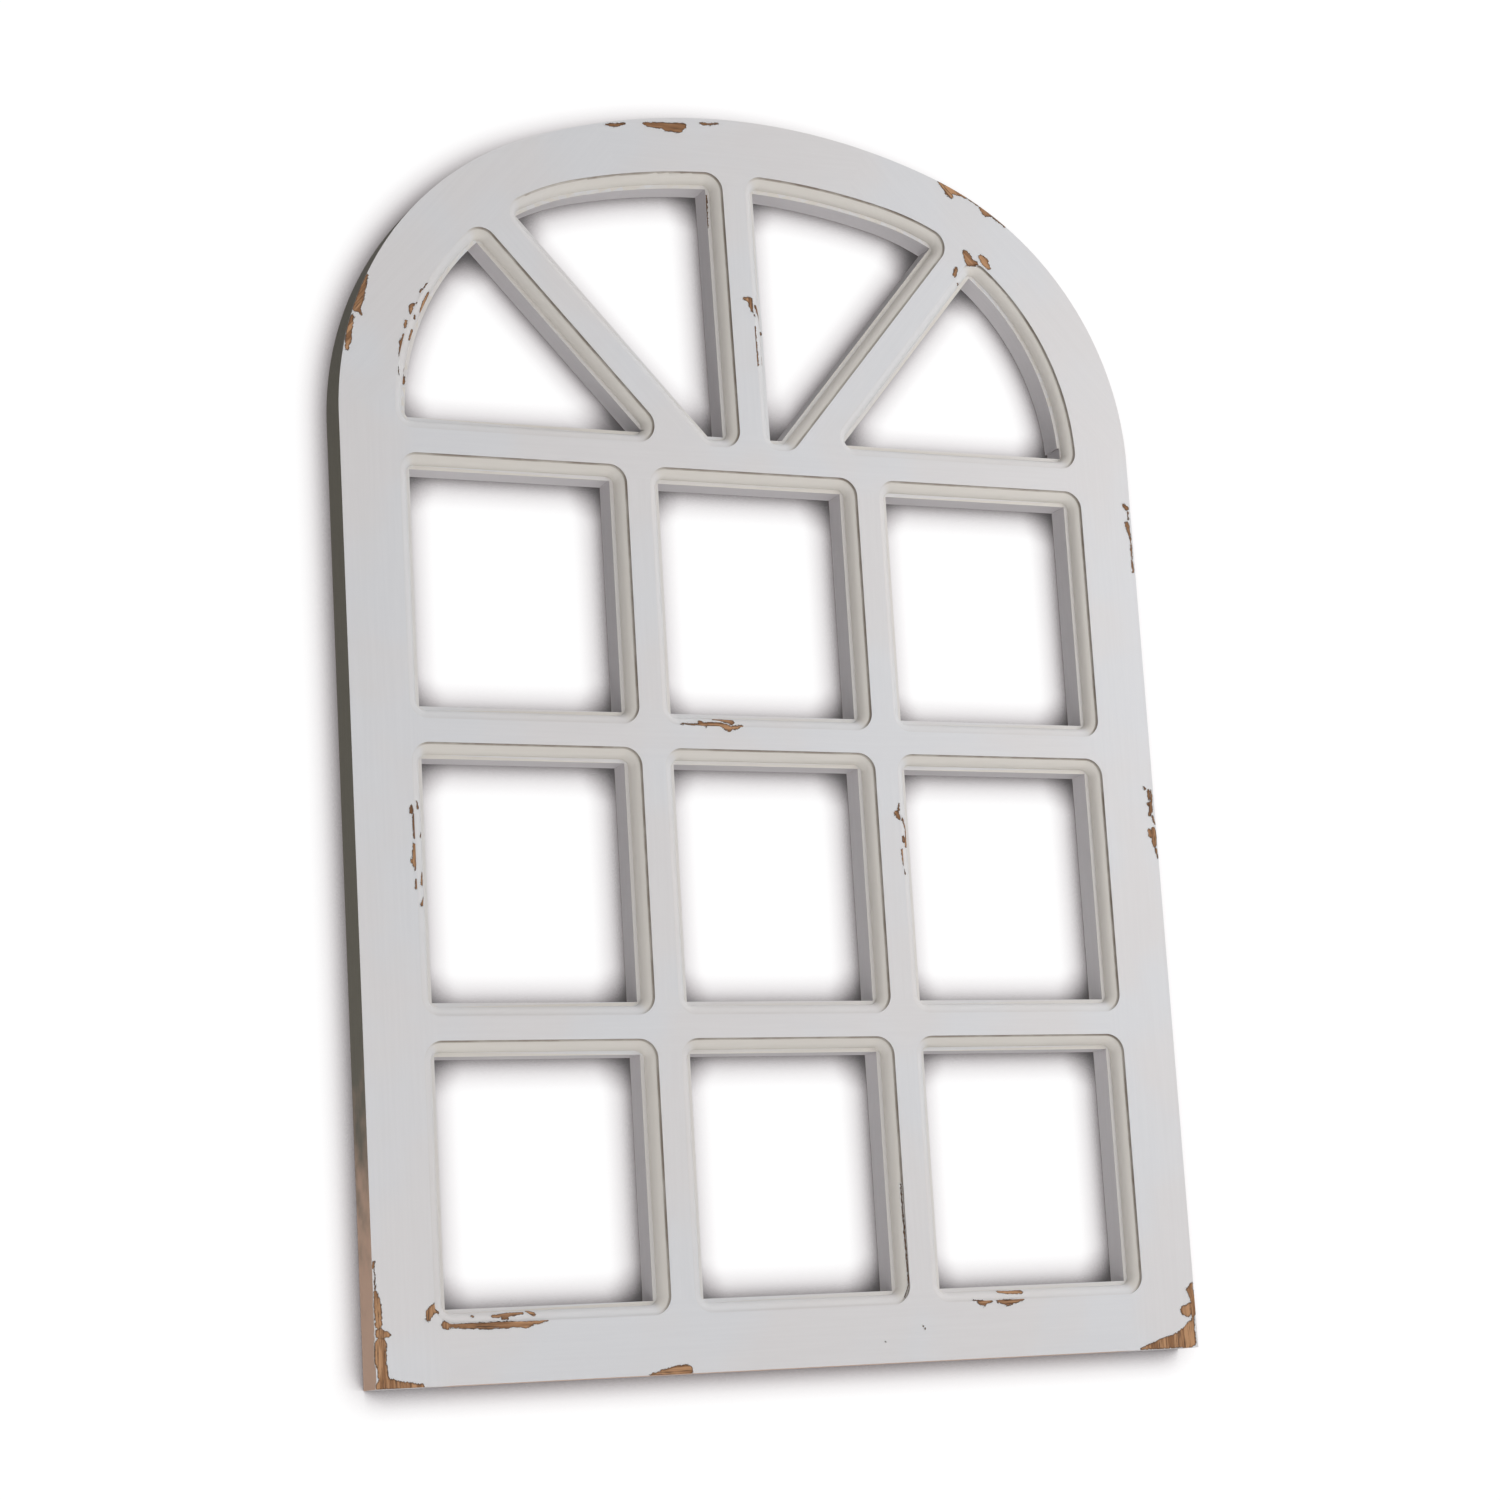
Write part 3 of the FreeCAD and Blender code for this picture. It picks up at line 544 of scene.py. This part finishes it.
def painted_timber(name):
    degrees, outward = MEMBERS[name]
    made, tree = new_material("paint_on_" + name)
    point = place_in_mm(tree)
    parts = put(tree, "ShaderNodeSeparateXYZ", {0: point}).outputs
    depth, height_up = parts[1], parts[2]
    grain = along_grain(tree, point, degrees)
    normal = put(tree, "ShaderNodeNewGeometry").outputs["Normal"]
    facing = put(tree, "ShaderNodeSeparateXYZ", {0: normal}).outputs
    # sunlit: how far each side faces the window's light; it steers the painted shade and grime below
    sideways = vector_of(tree, "MULTIPLY", normal, (1.0, 0.0, 1.0))
    sideways = vector_of(tree, "NORMALIZE", sideways)
    sunlit = vector_of(tree, "DOT_PRODUCT", sideways, WINDOW_SIDE, out=1)

    paint, strokes = brushed_paint(tree, point, grain, depth, sunlit)
    smudges = speckle(tree, point, scale=0.06, detail=3.0)[0]
    # grime and painted shade at the foot of the step
    paint = with_grime_and_shade(tree, paint, depth, sunlit, smudges)
    if outward:
        paint = with_outer_edge(tree, paint, normal, outward, height_up, smudges)
    back_colour, back_strands = aged_back(tree, point, grain)
    on_back = ramp(tree, facing[1], 0.5, 0.8)

    # Bare wood, with painted shadow along the inside of the patch's edge and a painted highlight on the
    # paint's curled rim round it
    away = distance_from_wear(tree, point, grain, name)
    bare = ramp(tree, away, *PATCH_EDGE, 1.0, 0.0)
    wood, strands = wood_fibres(tree, grain, WOOD_TAN, WOOD_BROWN, WOOD_DARK)
    wood = blend_colour(tree, ramp(tree, away, -PATCH_SHADOW_WIDTH, 0.0, to_high=0.9), wood, WOOD_DARK)
    paint = blend_colour(tree, ramp(tree, away, 0.1, 0.9, 0.7, 0.0), paint, RIM_PAINTED_HIGHLIGHT)
    paint = blend_colour(tree, on_back, paint, back_colour)
    colour = blend_colour(tree, bare, paint, wood)

    rough = ramp(tree, strokes, 0.2, 0.8, *ROUGH_PAINT)
    rough = number_of(tree, "MAXIMUM", rough, number_of(tree, "MULTIPLY", on_back, ROUGH_BACK))
    rough = number_of(tree, "MAXIMUM", rough, number_of(tree, "MULTIPLY", bare, ROUGH_WOOD))
    brush_height = number_of(tree, "MULTIPLY", strokes, BRUSH_RELIEF)
    back_height = number_of(tree, "MULTIPLY", back_strands, BACK_FIBRE_RELIEF)
    coat = put(tree, "ShaderNodeMix", {0: on_back, 2: brush_height, 3: back_height}).outputs[0]
    coat = number_of(tree, "ADD", coat, ramp(tree, away, 0.0, 1.0, CURLED_RIM, 0.0))
    wood_height = number_of(tree, "MULTIPLY_ADD", strands, FIBRE_RELIEF, -COAT_OVER_WOOD)
    height = put(tree, "ShaderNodeMix", {0: bare, 2: coat, 3: wood_height}).outputs[0]
    finish_material(tree, colour, rough, height)
    return made


def dowel_timber():
    made, tree = new_material("bare_dowel_timber")
    grain = place_in_mm(tree)
    colour, strands = wood_fibres(tree, grain, DOWEL_LIGHT, DOWEL_LIGHT, DOWEL_DARK)
    height = number_of(tree, "MULTIPLY", strands, DOWEL_FIBRE_RELIEF)
    finish_material(tree, colour, ROUGH_DOWEL, height)
    return made


def zinc_plate():
    """Dulled plating on the hangers: cloudy colour, fine scratches."""
    made, tree = new_material("dulled_zinc_plate")
    point = place_in_mm(tree)
    clouds = speckle(tree, point, scale=0.35, detail=3.0, rough=0.6)[0]
    colour = blend_colour(tree, ramp(tree, clouds, 0.40, 0.68), ZINC, ZINC_DULL)
    rough = ramp(tree, clouds, 0.3, 0.7, *ROUGH_ZINC)
    scratched = vector_of(tree, "MULTIPLY", point, SCRATCH_STRETCH)
    scratches = speckle(tree, scratched, scale=1.5)[0]
    height = number_of(tree, "MULTIPLY", scratches, SCRATCH_RELIEF)
    finish_material(tree, colour, rough, height, metallic=1.0)
    return made


def dress(name, material):
    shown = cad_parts[name]
    shown.data.materials.clear()
    shown.data.materials.append(material)


for member in MEMBERS:
    dress(member, painted_timber(member))
dowels = dowel_timber()
dress("frame_dowels", dowels)
dress("spoke_dowels", dowels)
plate = zinc_plate()
dress("hanger_screws", plate)
for side in ("left", "right"):
    dress(side + "_hanger_strap", plate)
    dress(side + "_hanger_ring", plate)


# Camera
camera = bpy.data.objects.new("camera", bpy.data.cameras.new("camera"))
camera.data.lens = CAMERA_LENS
camera.data.sensor_width = CAMERA_SENSOR
pose = Matrix((rolled_right, -rolled_down, -ahead)).transposed().to_4x4()
pose.translation = CAMERA_AT
camera.matrix_world = pose
bpy.context.scene.collection.objects.link(camera)
bpy.context.scene.camera = camera

# Pale wall and floor
WALL_Y = 0.0005
FLOOR_Z = -0.75
ROOM = 4.0                  # metres from the middle to each side, and to the wall's top
WALL_MATT = (0.12, 0.12, 0.12, 1.0)
WALL_GLOW = 0.94
FLOOR_GLOW = 0.20
SHADOW_GLOW = 0.20
SHADOW_TINT = (1.0, 0.90, 0.93, 1.0)
SHADOW_REACH = 0.026
SHADOW_FROM = (0.75, -1.0, 0.60)
SHADOW_CORE = 0.28
SHADOW_RIM = 0.80
BESIDE_REACH = 0.022
BESIDE_FROM = (0.858, -0.514, 0.0)
BESIDE_CORE = 0.42
BESIDE_GLOW = 0.02
SHADOW_SAMPLES = 8


def glowing(tree, colour, strength):
    """Matt surface that also glows by itself, to the camera alone; warmer where it glows less, as in the
    wall's painted shadow.
    """
    seen = put(tree, "ShaderNodeLightPath").outputs["Is Camera Ray"]
    tint = blend_colour(tree, strength, SHADOW_TINT, WHITE)
    strength = number_of(tree, "MULTIPLY", seen, strength)
    matt = put(tree, "ShaderNodeBsdfDiffuse", {"Color": colour}).outputs[0]
    glow = put(tree, "ShaderNodeEmission", {"Color": tint, "Strength": strength}).outputs[0]
    return put(tree, "ShaderNodeAddShader", {0: matt, 1: glow}).outputs[0]


def wall_paint():
    """White wall with a painted soft shadow, drawn from ambient occlusion into its glow, where the frame
    stands close over it; clear from behind.
    """
    made, tree = new_material("white_wall_paint")
    inputs = {"Distance": SHADOW_REACH, "Normal": SHADOW_FROM}
    open_sky = put(tree, "ShaderNodeAmbientOcclusion", inputs, samples=SHADOW_SAMPLES).outputs["AO"]
    strength = ramp(tree, open_sky, SHADOW_CORE, SHADOW_RIM, SHADOW_GLOW, WALL_GLOW)
    inputs = {"Distance": BESIDE_REACH, "Normal": BESIDE_FROM}
    open_side = put(tree, "ShaderNodeAmbientOcclusion", inputs, samples=SHADOW_SAMPLES).outputs["AO"]
    open_side = ramp(tree, open_side, BESIDE_CORE, 1.0, BESIDE_GLOW, 1.0, "LINEAR")
    strength = number_of(tree, "MULTIPLY", strength, number_of(tree, "SQRT", open_side))
    front = glowing(tree, WALL_MATT, strength)
    behind = put(tree, "ShaderNodeNewGeometry").outputs["Backfacing"]
    clear = put(tree, "ShaderNodeBsdfTransparent").outputs[0]
    shader = put(tree, "ShaderNodeMixShader", {0: behind, 1: front, 2: clear}).outputs[0]
    out = tree.nodes.new("ShaderNodeOutputMaterial")
    tree.links.new(shader, out.inputs[0])
    return made


def floor_paint():
    made, tree = new_material("white_floor_paint")
    out = tree.nodes.new("ShaderNodeOutputMaterial")
    tree.links.new(glowing(tree, WHITE, FLOOR_GLOW), out.inputs[0])
    return made


def sheet_of(name, corners, material):
    mesh = bpy.data.meshes.new(name)
    work = bmesh.new()
    work.faces.new([work.verts.new(c) for c in corners])
    work.to_mesh(mesh)
    work.free()
    made = bpy.data.objects.new(name, mesh)
    mesh.materials.append(material)
    bpy.context.scene.collection.objects.link(made)
    return made


wall = sheet_of(
    "wall",
    [(-ROOM, WALL_Y, FLOOR_Z), (ROOM, WALL_Y, FLOOR_Z), (ROOM, WALL_Y, ROOM), (-ROOM, WALL_Y, ROOM)],
    wall_paint(),
)
floor = sheet_of(
    "floor",
    [(-ROOM, -ROOM, FLOOR_Z), (ROOM, -ROOM, FLOOR_Z), (ROOM, ROOM, FLOOR_Z), (-ROOM, ROOM, FLOOR_Z)],
    floor_paint(),
)
wall.visible_shadow = False
wall.visible_diffuse = False
wall.visible_glossy = False


def lamp(name, kind, at, towards, power, size):
    data = bpy.data.lights.new(name, kind)
    data.energy = power
    if kind == "SUN":
        data.angle = size
    else:
        data.size = size
    made = bpy.data.objects.new(name, data)
    made.location = at
    made.rotation_euler = (Vector(towards) - Vector(at)).to_track_quat("-Z", "Y").to_euler()
    bpy.context.scene.collection.objects.link(made)
    return made


MIDDLE = (0.0, -0.0125, 0.385)
LEFT_FOOT = (-0.28, -0.01, 0.05)
SUN_WIDTH = math.radians(40.0)
STUDIO_LIGHT = 0.276        # all round, on the object; the camera sees plain white instead

lamp("front_light", "SUN", (0.0, -2.0, 0.385), MIDDLE, power=0.60, size=SUN_WIDTH)
lamp("sky_light", "SUN", (0.73, -0.43, 2.2), MIDDLE, power=1.03, size=SUN_WIDTH)
lamp("window", "AREA", (1.05, -0.92, 0.60), MIDDLE, power=6.8, size=0.9)
lamp("low_fill", "AREA", (-0.85, -0.35, -0.25), LEFT_FOOT, power=1.2, size=0.3)
lamp("back_fill", "AREA", (0.0, 1.5, 0.4), MIDDLE, power=6.0, size=0.5)

world = bpy.data.worlds.new("studio")
world.use_nodes = True
tree = world.node_tree
tree.nodes.clear()
path = put(tree, "ShaderNodeLightPath").outputs["Is Camera Ray"]
around = put(tree, "ShaderNodeBackground", {"Color": WHITE, "Strength": STUDIO_LIGHT}).outputs[0]
white = put(tree, "ShaderNodeBackground", {"Color": WHITE, "Strength": 1.0}).outputs[0]
mixed = put(tree, "ShaderNodeMixShader", {0: path, 1: around, 2: white}).outputs[0]
tree.links.new(mixed, tree.nodes.new("ShaderNodeOutputWorld").inputs[0])
bpy.context.scene.world = world
bpy.context.scene.view_settings.view_transform = "Standard"
